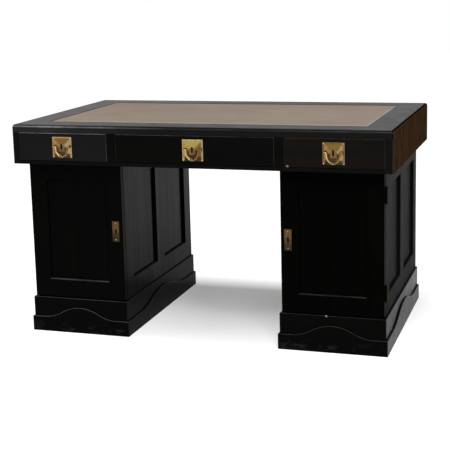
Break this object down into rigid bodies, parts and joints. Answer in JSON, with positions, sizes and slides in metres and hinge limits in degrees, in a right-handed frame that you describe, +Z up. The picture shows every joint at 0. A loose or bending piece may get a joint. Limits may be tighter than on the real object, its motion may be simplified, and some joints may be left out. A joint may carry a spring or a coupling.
{
  "type": "pedestal desk",
  "caption": "Black pedestal writing desk with an inset leather top, frieze drawers with brass drop pulls, panelled cupboard doors and a kneehole.",
  "frame": {"origin": "on the floor, under the middle of the whole desk's box", "axes": "+X to the right along the desk's width, seen from the front; +Y from the front to the back; +Z up"},
  "size_m": [1.38, 0.833, 0.78],
  "materials": {
    "ebonised_wood": "black-stained wood with a worn satin polish",
    "case_wood": "plain brown wood, waxed, inside the case",
    "leather": "taupe writing leather, matt with a fine grain",
    "brass": "stamped brass, bright on the high places and brown in the hollows",
    "escutcheon_brass": "dark tarnished brass",
    "hinge_brass": "blackened cast brass",
    "lock_steel": "dark plain steel"
  },
  "bodies": {
    "desk": {"top_border": "ebonised_wood", "frieze_sides": "ebonised_wood", "frieze_back": "ebonised_wood", "front_rail": "ebonised_wood", "drawer_dividers": "ebonised_wood", "pedestal_back_frames": "ebonised_wood", "pedestal_back_panels": "ebonised_wood", "top_panel": "case_wood", "drawer_partitions": "case_wood", "drawer_runners": "case_wood", "drawer_guides": "case_wood", "drawer_stops": "case_wood", "pedestal_boards": "case_wood", "pedestal_shelves": "case_wood", "shelf_cleats": "case_wood", "locating_blocks": "case_wood", "hinge_fixed_leaves": "hinge_brass", "hinge_pins": "lock_steel", "writing_leather": "leather", "left_pedestal_side_frames": "ebonised_wood", "left_pedestal_side_panels": "ebonised_wood", "left_plinth": "ebonised_wood", "left_skirting": "ebonised_wood", "right_pedestal_side_frames": "ebonised_wood", "right_pedestal_side_panels": "ebonised_wood", "right_plinth": "ebonised_wood", "right_skirting": "ebonised_wood"},
    "left_door": {"left_door_frame": "ebonised_wood", "left_door_panel": "ebonised_wood", "left_door_escutcheon": "escutcheon_brass", "left_door_lock": "lock_steel", "left_door_hinge_leaves": "hinge_brass"},
    "left_door_lock_bolt": {"left_door_bolt": "lock_steel"},
    "right_door": {"right_door_frame": "ebonised_wood", "right_door_panel": "ebonised_wood", "right_door_escutcheon": "escutcheon_brass", "right_door_lock": "lock_steel", "right_door_hinge_leaves": "hinge_brass"},
    "right_door_lock_bolt": {"right_door_bolt": "lock_steel"},
    "left_drawer": {"left_drawer_front": "ebonised_wood", "left_drawer_box": "case_wood", "left_drawer_bottom": "case_wood", "left_drawer_lock": "lock_steel", "left_drawer_pull_plate": "brass"},
    "left_pull_bail": {"left_drawer_bail": "brass"},
    "left_drawer_lock_bolt": {"left_drawer_bolt": "lock_steel"},
    "centre_drawer": {"centre_drawer_front": "ebonised_wood", "centre_drawer_box": "case_wood", "centre_drawer_bottom": "case_wood", "centre_drawer_lock": "lock_steel", "centre_drawer_pull_plate": "brass"},
    "centre_pull_bail": {"centre_drawer_bail": "brass"},
    "centre_drawer_lock_bolt": {"centre_drawer_bolt": "lock_steel"},
    "right_drawer": {"right_drawer_front": "ebonised_wood", "right_drawer_box": "case_wood", "right_drawer_bottom": "case_wood", "right_drawer_lock": "lock_steel", "right_drawer_pull_plate": "brass"},
    "right_pull_bail": {"right_drawer_bail": "brass"},
    "right_drawer_lock_bolt": {"right_drawer_bolt": "lock_steel"}
  },
  "joints": [
    {"name": "left_door_swing", "type": "hinge", "parent": "desk", "child": "left_door", "pos_m": [-0.6581, -0.333, 0.3835], "axis": [0, 0, -1], "range_deg": [0, 170]},
    {"name": "left_door_bolt_throw", "type": "slide", "parent": "left_door", "child": "left_door_lock_bolt", "axis": [1, 0, 0], "range_m": [0, 0.007]},
    {"name": "right_door_swing", "type": "hinge", "parent": "desk", "child": "right_door", "pos_m": [0.6581, -0.333, 0.3835], "axis": [0, 0, 1], "range_deg": [0, 170]},
    {"name": "right_door_bolt_throw", "type": "slide", "parent": "right_door", "child": "right_door_lock_bolt", "axis": [-1, 0, 0], "range_m": [0, 0.007]},
    {"name": "left_drawer_slide", "type": "slide", "parent": "desk", "child": "left_drawer", "axis": [0, -1, 0], "range_m": [0, 0.45]},
    {"name": "left_bail_lift", "type": "hinge", "parent": "left_drawer", "child": "left_pull_bail", "pos_m": [-0.4925, -0.4125, 0.704], "axis": [-1, 0, 0], "range_deg": [0, 90]},
    {"name": "left_drawer_bolt_throw", "type": "slide", "parent": "left_drawer", "child": "left_drawer_lock_bolt", "axis": [0, 0, 1], "range_m": [0, 0.007]},
    {"name": "centre_drawer_slide", "type": "slide", "parent": "desk", "child": "centre_drawer", "axis": [0, -1, 0], "range_m": [0, 0.45]},
    {"name": "centre_bail_lift", "type": "hinge", "parent": "centre_drawer", "child": "centre_pull_bail", "pos_m": [0, -0.4125, 0.704], "axis": [-1, 0, 0], "range_deg": [0, 90]},
    {"name": "centre_drawer_bolt_throw", "type": "slide", "parent": "centre_drawer", "child": "centre_drawer_lock_bolt", "axis": [0, 0, 1], "range_m": [0, 0.007]},
    {"name": "right_drawer_slide", "type": "slide", "parent": "desk", "child": "right_drawer", "axis": [0, -1, 0], "range_m": [0, 0.45]},
    {"name": "right_bail_lift", "type": "hinge", "parent": "right_drawer", "child": "right_pull_bail", "pos_m": [0.4925, -0.4125, 0.704], "axis": [-1, 0, 0], "range_deg": [0, 90]},
    {"name": "right_drawer_bolt_throw", "type": "slide", "parent": "right_drawer", "child": "right_drawer_lock_bolt", "axis": [0, 0, 1], "range_m": [0, 0.007]}
  ]
}
